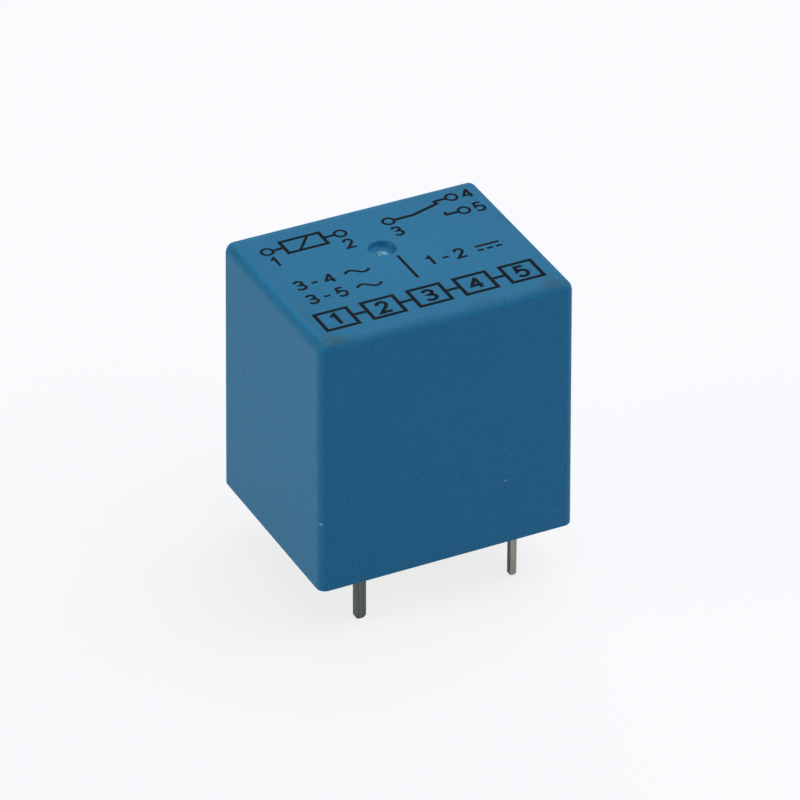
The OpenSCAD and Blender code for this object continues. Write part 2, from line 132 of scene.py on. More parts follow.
# Natural PBT, moulded: a warm white that clouds a little where the glass fibres lie, with a satin skin.
natural_pbt, tree, at = new_finish("natural_glass_filled_PBT_moulded")
cloud = add(tree, "TexNoise", {"Vector": at, "Scale": 1 / 1.5, "Detail": 3})
fibres = add(tree, "TexNoise", {"Vector": at, "Scale": 1 / 0.1, "Detail": 2})
tone = add(tree, "Mix", {0: cloud.outputs[0], 6: linear("#EAE4D2"), 7: linear("#D8CFB8")}, data_type="RGBA")
skin = add(tree, "Bump", {"Height": fibres.outputs[0], "Strength": 0.15, "Distance": 0.02 * MM})
gloss = add(tree, "MapRange", {"Value": fibres.outputs[0], "To Min": 0.42, "To Max": 0.58})
shader = add(tree, "BsdfPrincipled", {"Base Color": tone.outputs[2], "Roughness": gloss.outputs[0],
                                      "IOR": 1.55, "Normal": skin.outputs[0]})
add(tree, "OutputMaterial", {"Surface": shader.outputs[0]})
dress("bobbin", natural_pbt, BOBBIN_EDGE)


# Core, yoke and armature: the magnet's iron. The core is a turned pin with a wide pole head, the yoke a
# bent angle and the armature a flat plate, both punched from strip. All are soft iron, barrel plated.

CORE_EDGE, YOKE_EDGE, ARMATURE_EDGE = 0.05, 0, 0.06

# Nickel-plated soft iron: a grey, slightly yellow metal with the soft blotches of barrel plating and
# fine rubs.
plated_iron, tree, at = new_finish("nickel_plated_soft_iron_barrel_finish")
blotch = add(tree, "TexNoise", {"Vector": at, "Scale": 1 / 0.9, "Detail": 4})
rubs = add(tree, "TexNoise", {"Vector": at, "Scale": 1 / 0.06, "Detail": 2})
tone = add(tree, "Mix", {0: blotch.outputs[0], 6: linear("#B7B4AC"), 7: linear("#98968F")}, data_type="RGBA")
gloss = add(tree, "MapRange", {"Value": blotch.outputs[0], "To Min": 0.26, "To Max": 0.46})
skin = add(tree, "Bump", {"Height": rubs.outputs[0], "Strength": 0.1, "Distance": 0.01 * MM})
shader = add(tree, "BsdfPrincipled", {"Base Color": tone.outputs[2], "Metallic": 1.0,
                                      "Roughness": gloss.outputs[0], "Normal": skin.outputs[0]})
add(tree, "OutputMaterial", {"Surface": shader.outputs[0]})
dress("core", plated_iron, CORE_EDGE)
dress("yoke", plated_iron, YOKE_EDGE)
dress("armature", plated_iron, ARMATURE_EDGE)


# Winding: one layer shows of the many hundred turns of fine enamelled copper wire on the bobbin.
# It was machine wound, so the turns lie side by side and the layer swells a little at mid height.

WIRE = 0.14
WINDING_X = sum(corner.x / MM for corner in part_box("core")) / 2
WINDING_LOW, WINDING_HIGH = (corner.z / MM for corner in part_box("coil_winding"))
WINDING_IN, WINDING_OUT = 2.63, 4.69
SWELL_RADIUS = 4 * (WINDING_HIGH - WINDING_LOW)
SLACKEST_TURN, CREST_SHARE = 0.012, 0.8
ROUND_STEPS, STEPS_PER_TURN, WINDING_CREASE = 96, 6, 75
random.seed(7)


def new_piece(name, mesh_skin, material, smooth=True):
    """A new piece in the scene from the skin that was drawn for it."""
    mesh = bpy.data.meshes.new(name)
    mesh_skin.to_mesh(mesh)
    mesh_skin.free()
    mesh.polygons.foreach_set("use_smooth", [smooth] * len(mesh.polygons))
    mesh.materials.append(material)
    piece = bpy.data.objects.new(name, mesh)
    bpy.context.scene.collection.objects.link(piece)
    return piece


def build(name, points, faces, material, smooth=True):
    """A new piece from points in millimetres and the faces between them."""
    mesh_skin = bmesh.new()
    verts = [mesh_skin.verts.new(Vector(p) * MM) for p in points]
    for f in faces:
        mesh_skin.faces.new([verts[i] for i in f])
    bmesh.ops.recalc_face_normals(mesh_skin, faces=mesh_skin.faces)
    return new_piece(name, mesh_skin, material, smooth)


# Enamelled copper: the red-brown metal under a clear varnish, which makes each turn shine along its top.
enamelled_copper, tree, at = new_finish("enamelled_copper_wire_wound")
lay = add(tree, "Mapping", {"Vector": at, "Scale": (1 / 6.25, 1 / 6.25, 1 / (1.25 * WIRE))})
turns = add(tree, "TexNoise", {"Vector": lay.outputs[0], "Scale": 1.0, "Detail": 2})
tone = add(tree, "Mix", {0: turns.outputs[0], 6: linear("#7E3A1E"), 7: linear("#B5662F")}, data_type="RGBA")
gloss = add(tree, "MapRange", {"Value": turns.outputs[0], "To Min": 0.25, "To Max": 0.4})
shader = add(tree, "BsdfPrincipled", {"Base Color": tone.outputs[2], "Metallic": 1.0,
                                      "Roughness": gloss.outputs[0], "Coat Weight": 0.6,
                                      "Coat Roughness": 0.12, "Coat IOR": 1.6})
add(tree, "OutputMaterial", {"Surface": shader.outputs[0]})

middle = (WINDING_LOW + WINDING_HIGH) / 2
turn_count = int((WINDING_HIGH - WINDING_LOW) / WIRE)
pitch = (WINDING_HIGH - WINDING_LOW) / turn_count
profile = [(WINDING_IN, WINDING_LOW)]
for turn in range(turn_count):
    lift = random.uniform(-SLACKEST_TURN, 0.0)
    for step in range(STEPS_PER_TURN):
        along = (step + 0.5) / STEPS_PER_TURN
        z = WINDING_LOW + (turn + along) * pitch
        swell = math.sqrt(SWELL_RADIUS ** 2 - (z - middle) ** 2) - SWELL_RADIUS
        crest = WIRE / 2 * (math.sqrt(1 - (2 * along - 1) ** 2) - 1)
        profile.append((WINDING_OUT + swell + lift + CREST_SHARE * crest, z))
profile.append((WINDING_IN, WINDING_HIGH))
points, faces = [], []
for row, (r, z) in enumerate(profile):
    here, there = row * ROUND_STEPS, (row + 1) % len(profile) * ROUND_STEPS
    for i in range(ROUND_STEPS):
        a = 2 * math.pi * i / ROUND_STEPS
        j = (i + 1) % ROUND_STEPS
        points.append((WINDING_X + r * math.cos(a), r * math.sin(a), z))
        faces.append((here + i, here + j, there + j, there + i))
winding = build("winding_turns", points, faces, enamelled_copper)
winding.data.set_sharp_from_angle(angle=math.radians(WINDING_CREASE))
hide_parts("coil_winding")
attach(winding, "frame")
dress("coil_lead_front", enamelled_copper, 0)
dress("coil_lead_rear", enamelled_copper, 0)


# Coil pins and the solder on them: square steel wire pressed into the bobbin, with the lead wound on its
# upper end and dip soldered there. The lower end is the pin that goes through the circuit board.

COIL_PIN_EDGE, SOLDER_EDGE = 0.05, 0.08

# Tinned steel, drawn: dull grey tin with lengthwise drawing marks; its side towards -X is painted dark as
# shade.
tinned_steel, tree, at = new_finish("tinned_steel_wire_drawn")
drawn = add(tree, "Mapping", {"Vector": at, "Scale": (1 / 0.12, 1 / 0.12, 1 / 2.5)})
marks = add(tree, "TexNoise", {"Vector": drawn.outputs[0], "Scale": 1.0, "Detail": 3})
cast = add(tree, "TexNoise", {"Vector": at, "Scale": 1 / 0.5, "Detail": 3})
tin = add(tree, "Mix", {0: marks.outputs[0], 6: linear("#5F625B"), 7: linear("#A8ABA0")}, data_type="RGBA")
way = add(tree, "NewGeometry")
facing = add(tree, "SeparateXYZ", {0: way.outputs["Normal"]})
# painted shade: the faces turned towards -X are darkened
shaded_side = add(tree, "MapRange", {"Value": facing.outputs["X"], "From Min": -0.4, "From Max": -0.9,
                              "To Max": 0.95})
tone = add(tree, "Mix", {0: shaded_side.outputs[0], 6: tin.outputs[2], 7: linear("#252A24")}, data_type="RGBA")
gloss = add(tree, "MapRange", {"Value": cast.outputs[0], "To Min": 0.28, "To Max": 0.5})
skin = add(tree, "Bump", {"Height": marks.outputs[0], "Strength": 0.3, "Distance": 0.02 * MM})
shader = add(tree, "BsdfPrincipled", {"Base Color": tone.outputs[2], "Metallic": 1.0,
                                      "Roughness": gloss.outputs[0], "Normal": skin.outputs[0]})
add(tree, "OutputMaterial", {"Surface": shader.outputs[0]})

# Solder, frozen after dipping: brighter than the tin, with a slightly frosted, uneven skin.
frozen_solder, tree, at = new_finish("tin_solder_frozen")
frost = add(tree, "TexNoise", {"Vector": at, "Scale": 1 / 0.25, "Detail": 4})
tone = add(tree, "Mix", {0: frost.outputs[0], 6: linear("#A8A7A3"), 7: linear("#CFCDC8")}, data_type="RGBA")
gloss = add(tree, "MapRange", {"Value": frost.outputs[0], "To Min": 0.2, "To Max": 0.4})
skin = add(tree, "Bump", {"Height": frost.outputs[0], "Strength": 0.4, "Distance": 0.03 * MM})
shader = add(tree, "BsdfPrincipled", {"Base Color": tone.outputs[2], "Metallic": 1.0,
                                      "Roughness": gloss.outputs[0], "Normal": skin.outputs[0]})
add(tree, "OutputMaterial", {"Surface": shader.outputs[0]})
for end in ("front", "rear"):
    dress("coil_pin_" + end, tinned_steel, COIL_PIN_EDGE)
    dress("solder_" + end, frozen_solder, SOLDER_EDGE)


# Contact spring: a leaf of rolled bronze strip, punched and bent over the hinge. Its leg is riveted to the
# yoke with the common strip and its top to the armature, so it flexes between the two as the armature moves.

LEAF_FIXED_TOP = Vector((7.98, 0, 8.7))
LEAF_FREE_FROM = Vector((7.5, 0, 15.2))
LEAF_CUT, LEAF_FLAT_WITHIN, LEAF_CREASE = 0.35, 0.5, 35

# Phosphor bronze, rolled: a brown-gold metal with fine rolling lines along the strip.
rolled_bronze, tree, at = new_finish("phosphor_bronze_strip_rolled")
rolled = add(tree, "Mapping", {"Vector": at, "Scale": (1 / 3, 1 / 0.05, 1 / 3)})
lines = add(tree, "TexNoise", {"Vector": rolled.outputs[0], "Scale": 1.0, "Detail": 3})
tone = add(tree, "Mix", {0: lines.outputs[0], 6: linear("#A87843"), 7: linear("#C79A62")}, data_type="RGBA")
gloss = add(tree, "MapRange", {"Value": lines.outputs[0], "To Min": 0.22, "To Max": 0.38})
shader = add(tree, "BsdfPrincipled", {"Base Color": tone.outputs[2], "Metallic": 1.0,
                                      "Roughness": gloss.outputs[0]})
add(tree, "OutputMaterial", {"Surface": shader.outputs[0]})

leaf_skin = bmesh.new()
leaf_skin.from_mesh(frame["nodes"]["contact_spring"].data)
bmesh.ops.remove_doubles(leaf_skin, verts=leaf_skin.verts, dist=SAME_POINT * MM)
bmesh.ops.dissolve_limit(leaf_skin, angle_limit=math.radians(LEAF_FLAT_WITHIN),
                         verts=leaf_skin.verts, edges=leaf_skin.edges)
# level cuts all the way up the flat leaf
cuts = int((LEAF_FREE_FROM.z - LEAF_FIXED_TOP.z) / LEAF_CUT)
for k in range(cuts + 1):
    height = Vector((0, 0, LEAF_FIXED_TOP.z + k * LEAF_CUT)) * MM
    bmesh.ops.bisect_plane(leaf_skin, geom=leaf_skin.verts[:] + leaf_skin.edges[:] + leaf_skin.faces[:],
                           plane_co=height, plane_no=(0, 0, 1))
leaf = new_piece("bent_leaf", leaf_skin, rolled_bronze)
leaf.data.set_sharp_from_angle(angle=math.radians(LEAF_CREASE))
keep_flat(leaf)
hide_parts("contact_spring")
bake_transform(leaf)


# Contact rivets: the double-crowned moving one in the end of the leaf and the flat fixed ones in the arms
# of the terminals. Silver alloy, headed cold from wire and riveted in place.

RIVET_EDGE = 0.04

# Silver alloy, cold headed: a white metal, faintly yellowed, with a fine grain from the die.
silver_alloy, tree, at = new_finish("silver_alloy_cold_headed")
tarnish = add(tree, "TexNoise", {"Vector": at, "Scale": 1 / 0.7, "Detail": 3})
die = add(tree, "TexNoise", {"Vector": at, "Scale": 1 / 0.05, "Detail": 2})
tone = add(tree, "Mix", {0: tarnish.outputs[0], 6: linear("#DEDBD3"), 7: linear("#C6BFAE")}, data_type="RGBA")
gloss = add(tree, "MapRange", {"Value": tarnish.outputs[0], "To Min": 0.2, "To Max": 0.36})
skin = add(tree, "Bump", {"Height": die.outputs[0], "Strength": 0.1, "Distance": 0.01 * MM})
shader = add(tree, "BsdfPrincipled", {"Base Color": tone.outputs[2], "Metallic": 1.0,
                                      "Roughness": gloss.outputs[0], "Normal": skin.outputs[0]})
add(tree, "OutputMaterial", {"Surface": shader.outputs[0]})
for rivet in ("moving_contact", "no_contact", "nc_contact"):
    dress(rivet, silver_alloy, RIVET_EDGE)


# Terminals: three brass strips, punched and tinned. The two contact terminals stand in towers of the base
# and bend over to their contacts; the common one lies on the yoke. Their lower ends are the board pins.

STRIP_EDGE = 0.05

# Tinned brass, punched: bright tin inside the sealed cover, gone dull grey outside it, streaked along the
# strip and a little brown; its narrow sides towards +X and -X are painted darker as shade.
tinned_brass, tree, at = new_finish("tinned_brass_strip_punched")
sheared = add(tree, "Mapping", {"Vector": at, "Scale": (1 / 0.15, 1 / 0.15, 1 / 3)})
streaks = add(tree, "TexNoise", {"Vector": sheared.outputs[0], "Scale": 1.0, "Detail": 3})
dulling = add(tree, "TexNoise", {"Vector": at, "Scale": 1 / 0.8, "Detail": 4})
tin = add(tree, "Mix", {0: streaks.outputs[0], 6: linear("#363A36"), 7: linear("#747972")}, data_type="RGBA")
worn = add(tree, "MapRange", {"Value": dulling.outputs[0], "From Min": 0.55, "From Max": 0.75, "To Max": 0.6})
face = add(tree, "Mix", {0: worn.outputs[0], 6: tin.outputs[2], 7: linear("#504E44")}, data_type="RGBA")
way = add(tree, "NewGeometry")
facing = add(tree, "SeparateXYZ", {0: way.outputs["Normal"]})
# painted shade: the narrow sides, turned towards +X and -X, are darkened
side_facing = add(tree, "Math", {0: facing.outputs["X"]}, operation="ABSOLUTE")
side_shade = add(tree, "MapRange", {"Value": side_facing.outputs[0], "From Min": 0.4, "From Max": 0.9, "To Max": 0.6})
dull_and_side_shade = add(tree, "Mix", {0: side_shade.outputs[0], 6: face.outputs[2], 7: linear("#2C2C27")}, data_type="RGBA")
height = add(tree, "SeparateXYZ", {0: at})
inside = add(tree, "MapRange", {"Value": height.outputs["Z"], "From Min": 0.4, "From Max": 2.4,
                                "To Max": 0.85})
fresh = add(tree, "Mix", {0: streaks.outputs[0], 6: linear("#A3A29B"), 7: linear("#C4C2BA")},
            data_type="RGBA")
tone = add(tree, "Mix", {0: inside.outputs[0], 6: dull_and_side_shade.outputs[2], 7: fresh.outputs[2]}, data_type="RGBA")
gloss = add(tree, "MapRange", {"Value": dulling.outputs[0], "To Min": 0.3, "To Max": 0.52})
skin = add(tree, "Bump", {"Height": streaks.outputs[0], "Strength": 0.3, "Distance": 0.02 * MM})
shader = add(tree, "BsdfPrincipled", {"Base Color": tone.outputs[2], "Metallic": 1.0,
                                      "Roughness": gloss.outputs[0], "Normal": skin.outputs[0]})
add(tree, "OutputMaterial", {"Surface": shader.outputs[0]})
for strip in ("com_terminal", "no_terminal", "nc_terminal"):
    dress(strip, tinned_brass, STRIP_EDGE)


# Base: the plate that everything stands on, with two towers for the contact terminals and a wall between
# coil and contacts. Black PBT, injection moulded.

BASE_EDGE = 0.05

# Black PBT, moulded: a deep grey-black with a satin skin and faint flow clouds.
black_pbt, tree, at = new_finish("black_PBT_moulded")
flow = add(tree, "TexNoise", {"Vector": at, "Scale": 1 / 2.0, "Detail": 3})
grain = add(tree, "TexNoise", {"Vector": at, "Scale": 1 / 0.1, "Detail": 2})
tone = add(tree, "Mix", {0: flow.outputs[0], 6: linear("#232427"), 7: linear("#2F3033")}, data_type="RGBA")
gloss = add(tree, "MapRange", {"Value": grain.outputs[0], "To Min": 0.4, "To Max": 0.55})
skin = add(tree, "Bump", {"Height": grain.outputs[0], "Strength": 0.2, "Distance": 0.02 * MM})
shader = add(tree, "BsdfPrincipled", {"Base Color": tone.outputs[2], "Roughness": gloss.outputs[0],
                                      "IOR": 1.55, "Normal": skin.outputs[0]})
add(tree, "OutputMaterial", {"Surface": shader.outputs[0]})
dress("base", black_pbt, BASE_EDGE)


# Cover: a deep box of blue PBT, injection moulded through a gate in the dimple of its top, where the broken
# stub shows. It drops over the mechanism and is held by the resin cast into its rim.

INK_ROOM = 0.02
cover_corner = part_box("cover")[1] / MM
COVER_W, COVER_D, COVER_H = 2 * cover_corner.x, 2 * cover_corner.y, cover_corner.z - INK_ROOM
COVER_WALL, COVER_TOP = 0.8, 0.9
COVER_DRAFT = math.tan(math.radians(0.4))
EDGE, EDGE_DOWN, UPRIGHT_EDGE = 0.6, 0.78, 0.64
INNER_EDGE, INNER_UPRIGHT = 0.3, 0.34
RIM_EDGE = 0.07
CORNER_STEPS, EDGE_STEPS, RIM_STEPS = 10, 10, 4
DIMPLE = Vector((-0.2, 2.0))
DIMPLE_R, DIMPLE_SIDE, DIMPLE_DEPTH, DIMPLE_LIP = 1.0, 0.26, 0.38, 0.05
STUB = Vector((-0.32, 1.76))
STUB_R, STUB_H, STUB_SIDE = 0.4, 0.12, 0.07
TEARS, TEAR_LOW, TEAR_HIGH, TEAR_SPREAD = 18, -0.09, 0.07, 0.005
DISH_STEPS, DISH_RINGS, LIP_RINGS = 72, 34, 2


def rounded_ring(w, d, r, z):
    """A level ring of points round a rectangle with round corners."""
    ring = []
    for quarter, (sx, sy) in enumerate(((1, 1), (-1, 1), (-1, -1), (1, -1))):
        for k in range(CORNER_STEPS + 1):
            a = math.radians(90 * (quarter + k / CORNER_STEPS))
            ring.append((sx * (w / 2 - r) + r * math.cos(a), sy * (d / 2 - r) + r * math.sin(a), z))
    return ring


def wall_ring(inset, z, r, edge, edge_down, top):
    """The ring of a drafted wall at a height, rounded over at the top by so much inwards and so much down."""
    lean = COVER_DRAFT * min(z, top - edge_down)
    rise = max(0.0, (z - (top - edge_down)) / edge_down) if edge else 0.0
    over = edge * (1 - math.sqrt(max(0.0, 1 - rise * rise)))
    shrink = 2 * (inset + lean + over)
    return rounded_ring(COVER_W - shrink, COVER_D - shrink, r - over, z)


# Blue PBT, spark-eroded mould: a mid blue, matt from the fine grain of the mould, with little gloss of its
# own, so it only pales where it is seen at a grazing angle. The flow clouds are 3 mm wide, and the grain is
# drawn 0.12 mm wide, as coarse as it needs to show.
# The top is cleanest in its middle. Its rounded top edges are painted paler, a painted sheen, and handling
# has left grey-green dirt beside them and two pale nicks lower down, and the stub is pale where it was torn
# off.
# A mark has a colour, a middle, a reach each way and a greatest strength, and a ragged border.
RAGGEDNESS, MARK_FULL, MARK_GONE = 1.6, 0.8, 1.7
CLEAN, EDGE_SHEEN, DIRT, NICK, TORN = "#15779F", "#3882AA", "#20525F", "#A9C4CE", "#84BFCE"
MARKS = (
    (CLEAN, (0.0, 0.8, 19.2), (9.5, 8.0, 0.5), 0.35),
    # painted sheen: paler bands along the rounded left, front and back top edges
    (EDGE_SHEEN, (-9.0, 0.0, 19.1), (0.4, 20.0, 0.4), 0.35),
    (EDGE_SHEEN, (0.0, -7.4, 18.87), (20.0, 0.4, 0.4), 0.25),
    (EDGE_SHEEN, (0.0, 6.95, 19.1), (20.0, 0.35, 0.4), 0.3),
    (DIRT, (-8.5, -6.65, 19.1), (1.3, 1.1, 0.7), 0.5),
    (DIRT, (-8.4, -3.2, 19.2), (0.6, 5.0, 0.5), 0.25),
    (DIRT, (2.9, -6.95, 19.15), (1.8, 0.5, 0.5), 0.35),
    (DIRT, (8.1, -6.2, 19.2), (1.0, 0.9, 0.5), 0.35),
    (DIRT, (-7.8, -7.02, 19.1), (1.6, 0.5, 0.7), 0.8),
    (DIRT, (7.9, -6.95, 19.1), (1.6, 0.55, 0.7), 0.85),
    (DIRT, (6.2, -7.2, 19.1), (0.9, 0.25, 0.5), 0.3),
    (DIRT, (-3.0, -7.2, 19.0), (2.8, 0.3, 0.5), 0.2),
    (DIRT, (4.4, 6.7, 19.2), (1.4, 0.3, 0.6), 0.35),
    (DIRT, (7.8, 6.7, 19.15), (1.2, 0.5, 0.5), 0.3),
    (DIRT, (-9.2, 5.8, 19.0), (0.3, 0.9, 0.5), 0.4),
    (DIRT, (8.8, 1.6, 19.1), (0.3, 1.6, 0.5), 0.3),
    (NICK, (-9.34, -7.44, 5.35), (0.2, 0.3, 0.18), 0.9),
    (NICK, (4.3, -7.6, 5.0), (0.2, 0.2, 0.07), 0.6),
    (TORN, (-0.19, 1.79, 18.95), (0.42, 0.3, 0.6), 1.0),
    (TORN, (-0.06, 1.65, 18.95), (0.24, 0.22, 0.6), 0.9),
    (TORN, (-0.62, 2.0, 18.95), (0.2, 0.2, 0.6), 0.8),
    (TORN, (-0.34, 2.11, 18.95), (0.26, 0.18, 0.6), 0.8),
    (TORN, (-0.56, 1.65, 18.95), (0.26, 0.18, 0.6), 0.9),
)
blue_pbt, tree, at = new_finish("blue_PBT_spark_eroded_mould")
clouds = add(tree, "TexNoise", {"Vector": at, "Scale": 1 / 3.0, "Detail": 4})
grain = add(tree, "TexNoise", {"Vector": at, "Scale": 1 / 0.12, "Detail": 3, "Roughness": 0.6})
smear = add(tree, "TexNoise", {"Vector": at, "Scale": 1 / 0.3, "Detail": 4, "Roughness": 0.65})
plain = add(tree, "Mix", {0: clouds.outputs[0], 6: linear("#126D98"), 7: linear("#1A7296")}, data_type="RGBA")
pits = add(tree, "MapRange", {"Value": grain.outputs[0], "From Min": 0.35, "From Max": 0.65, "To Max": 0.8})
tone = add(tree, "Mix", {0: pits.outputs[0], 6: plain.outputs[2], 7: linear("#105E86")}, data_type="RGBA")
for shade, place, reach, most in MARKS:
    aside = add(tree, "VectorMath", {0: at, 1: place}, operation="SUBTRACT")
    shares = add(tree, "VectorMath", {0: aside.outputs[0], 1: reach}, operation="DIVIDE")
    away = add(tree, "VectorMath", {0: shares.outputs[0]}, operation="LENGTH")
    ragged = add(tree, "Math", {0: smear.outputs[0], 1: RAGGEDNESS, 2: away.outputs["Value"]},
                 operation="MULTIPLY_ADD")
    patch = add(tree, "MapRange", {"Value": ragged.outputs[0], "From Min": MARK_FULL, "From Max": MARK_GONE,
                                   "To Min": most, "To Max": 0.0})
    tone = add(tree, "Mix", {0: patch.outputs[0], 6: tone.outputs[2], 7: linear(shade)}, data_type="RGBA")
gloss = add(tree, "MapRange", {"Value": grain.outputs[0], "To Min": 0.46, "To Max": 0.58})
relief = add(tree, "Bump", {"Height": grain.outputs[0], "Strength": 0.5, "Distance": 0.03 * MM})
shader = add(tree, "BsdfPrincipled", {"Base Color": tone.outputs[2], "Roughness": gloss.outputs[0],
                                      "IOR": 1.5, "Specular IOR Level": 0.2, "Normal": relief.outputs[0]})
add(tree, "OutputMaterial", {"Surface": shader.outputs[0]})

ceiling = COVER_H - COVER_TOP
rings = []
for k in range(EDGE_STEPS, -1, -1):
    z = ceiling - INNER_EDGE + INNER_EDGE * math.sin(math.radians(90 * k / EDGE_STEPS))
    rings.append(wall_ring(COVER_WALL, z, INNER_UPRIGHT, INNER_EDGE, INNER_EDGE, ceiling))
for k in range(RIM_STEPS + 1):
    a = math.radians(90 * k / RIM_STEPS)
    ease = RIM_EDGE * (1 - math.cos(a))
    rings.append(wall_ring(COVER_WALL - ease, RIM_EDGE * (1 - math.sin(a)), INNER_UPRIGHT, 0, 0, COVER_H))
for k in range(RIM_STEPS, -1, -1):
    a = math.radians(90 * k / RIM_STEPS)
    ease = RIM_EDGE * (1 - math.cos(a))
    rings.append(wall_ring(ease, RIM_EDGE * (1 - math.sin(a)), UPRIGHT_EDGE - ease, 0, 0, COVER_H))
for k in range(EDGE_STEPS + 1):
    z = COVER_H - EDGE_DOWN + EDGE_DOWN * math.sin(math.radians(90 * k / EDGE_STEPS))
    rings.append(wall_ring(0, z, UPRIGHT_EDGE, EDGE, EDGE_DOWN, COVER_H))

count = len(rings[0])
cover_skin = bmesh.new()
grid = [[cover_skin.verts.new(Vector(p) * MM) for p in ring] for ring in rings]
for low, high in zip(grid, grid[1:]):
    for i in range(count):
        j = (i + 1) % count
        cover_skin.faces.new((low[i], low[j], high[j], high[i]))
cover_skin.faces.new(grid[0])

random.seed(11)
tears = [(random.uniform(-STUB_R, STUB_R), random.uniform(-STUB_R, STUB_R),
          random.uniform(TEAR_LOW, TEAR_HIGH)) for _ in range(TEARS)]


def dish_height(x, y):
    """Height of the dimple: a soft lip, a steep side and a floor with the torn stub standing on it."""
    down = min(1.0, max(0.0, (DIMPLE_R - math.hypot(x - DIMPLE.x, y - DIMPLE.y)) / DIMPLE_SIDE))
    floor = COVER_H - DIMPLE_DEPTH * down * down * (3 - 2 * down)
    dx, dy = x - STUB.x, y - STUB.y
    s = math.hypot(dx, dy)
    if s < STUB_R:
        top = COVER_H - DIMPLE_DEPTH + STUB_H
        top += sum(h * math.exp(-((dx - a) ** 2 + (dy - b) ** 2) / TEAR_SPREAD) for a, b, h in tears)
        t = min(1.0, (STUB_R - s) / STUB_SIDE)
        floor = max(floor, floor * (1 - t) + top * t)
    return floor


dish = []
for ring in range(DISH_RINGS):
    inwards = max(0, ring - LIP_RINGS) / (DISH_RINGS - LIP_RINGS)
    r = DIMPLE_R * math.sin(math.radians(90 * (1 - inwards))) + DIMPLE_LIP * max(0, LIP_RINGS - ring)
    row = []
    for i in range(DISH_STEPS):
        x = DIMPLE.x + r * math.cos(2 * math.pi * i / DISH_STEPS)
        y = DIMPLE.y + r * math.sin(2 * math.pi * i / DISH_STEPS)
        row.append(cover_skin.verts.new(Vector((x, y, dish_height(x, y))) * MM))
    dish.append(row)
for outer, inner in zip(dish, dish[1:]):
    for i in range(DISH_STEPS):
        j = (i + 1) % DISH_STEPS
        cover_skin.faces.new((outer[i], outer[j], inner[j], inner[i]))
centre = cover_skin.verts.new(Vector((DIMPLE.x, DIMPLE.y, dish_height(DIMPLE.x, DIMPLE.y))) * MM)
for i in range(DISH_STEPS):
    cover_skin.faces.new((dish[-1][i], dish[-1][(i + 1) % DISH_STEPS], centre))
# the flat of the top is filled in between the cover's edge and the dimple's lip
hem = [cover_skin.edges.get((here, there)) for loop in (grid[-1], dish[0])
       for here, there in zip(loop, loop[1:] + loop[:1])]
bmesh.ops.triangle_fill(cover_skin, edges=hem, use_beauty=True)
bmesh.ops.recalc_face_normals(cover_skin, faces=cover_skin.faces)
cover = new_piece("moulded_cover", cover_skin, blue_pbt)
keep_flat(cover)
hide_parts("cover")
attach(cover, "frame")


# Print on the top: the wiring key of the relay, pad printed in black ink straight on the cover.
# It shows the coil between pins 1 and 2, the changeover contact on 3, 4 and 5, and which pairs carry which
# kind of current.

INK_LOW, INK_HIGH, INK_RISE = COVER_H - 0.004, COVER_H + 0.004, 0.0002
FINE_LINE, BOLD_LINE = 0.2, 0.26
PIN_MARK_R = 0.4
FIGURE_H, SMALL_FIGURE_H = 1.5, 1.25
FIGURE_WIDE, FIGURE_GAP = 0.6, 2.2
SHARPEST_MITRE = 0.4
RING_STEPS = 28

# Black pad-print ink: a thin dull black film, a little patchy where the pad lifted off.
print_ink, tree, at = new_finish("black_pad_print_ink")
film = add(tree, "TexNoise", {"Vector": at, "Scale": 1 / 0.25, "Detail": 4, "Roughness": 0.7})
thin = add(tree, "MapRange", {"Value": film.outputs[0], "From Min": 0.52, "From Max": 0.75, "To Max": 0.55})
tone = add(tree, "Mix", {0: thin.outputs[0], 6: linear("#12171B"), 7: linear("#1B2F40")}, data_type="RGBA")
gloss = add(tree, "MapRange", {"Value": film.outputs[0], "To Min": 0.65, "To Max": 0.85})
shader = add(tree, "BsdfPrincipled", {"Base Color": tone.outputs[2], "Roughness": gloss.outputs[0],
                                      "Specular IOR Level": 0.08})
add(tree, "OutputMaterial", {"Surface": shader.outputs[0]})
key_skin = bmesh.new()
lines_laid = []


def ink_line(path, width, closed=False):
    """Ink along a path in the top's plane, with mitred corners, a hair higher than the line before it."""
    path = [Vector(p) for p in path]
    count = len(path)
    top = INK_HIGH + INK_RISE * len(lines_laid)
    lines_laid.append(path)
    stations = []
    for i, p in enumerate(path):
        ahead = path[(i + 1) % count] - p if closed or i + 1 < count else p - path[i - 1]
        behind = p - path[i - 1] if closed or i else ahead
        along = (ahead.normalized() + behind.normalized()).normalized()
        reach = width / 2 / max(SHARPEST_MITRE, along.dot(ahead.normalized()))
        across = Vector((-along.y, along.x)) * reach
        stations.append([key_skin.verts.new(Vector((q.x, q.y, z)) * MM)
                         for q, z in ((p + across, INK_LOW), (p - across, INK_LOW),
                                      (p - across, top), (p + across, top))])
    for i in range(count if closed else count - 1):
        here, there = stations[i], stations[(i + 1) % count]
        for k in range(4):
            key_skin.faces.new((here[k], here[(k + 1) % 4], there[(k + 1) % 4], there[k]))
    if not closed:
        key_skin.faces.new(stations[0])
        key_skin.faces.new(stations[-1][::-1])


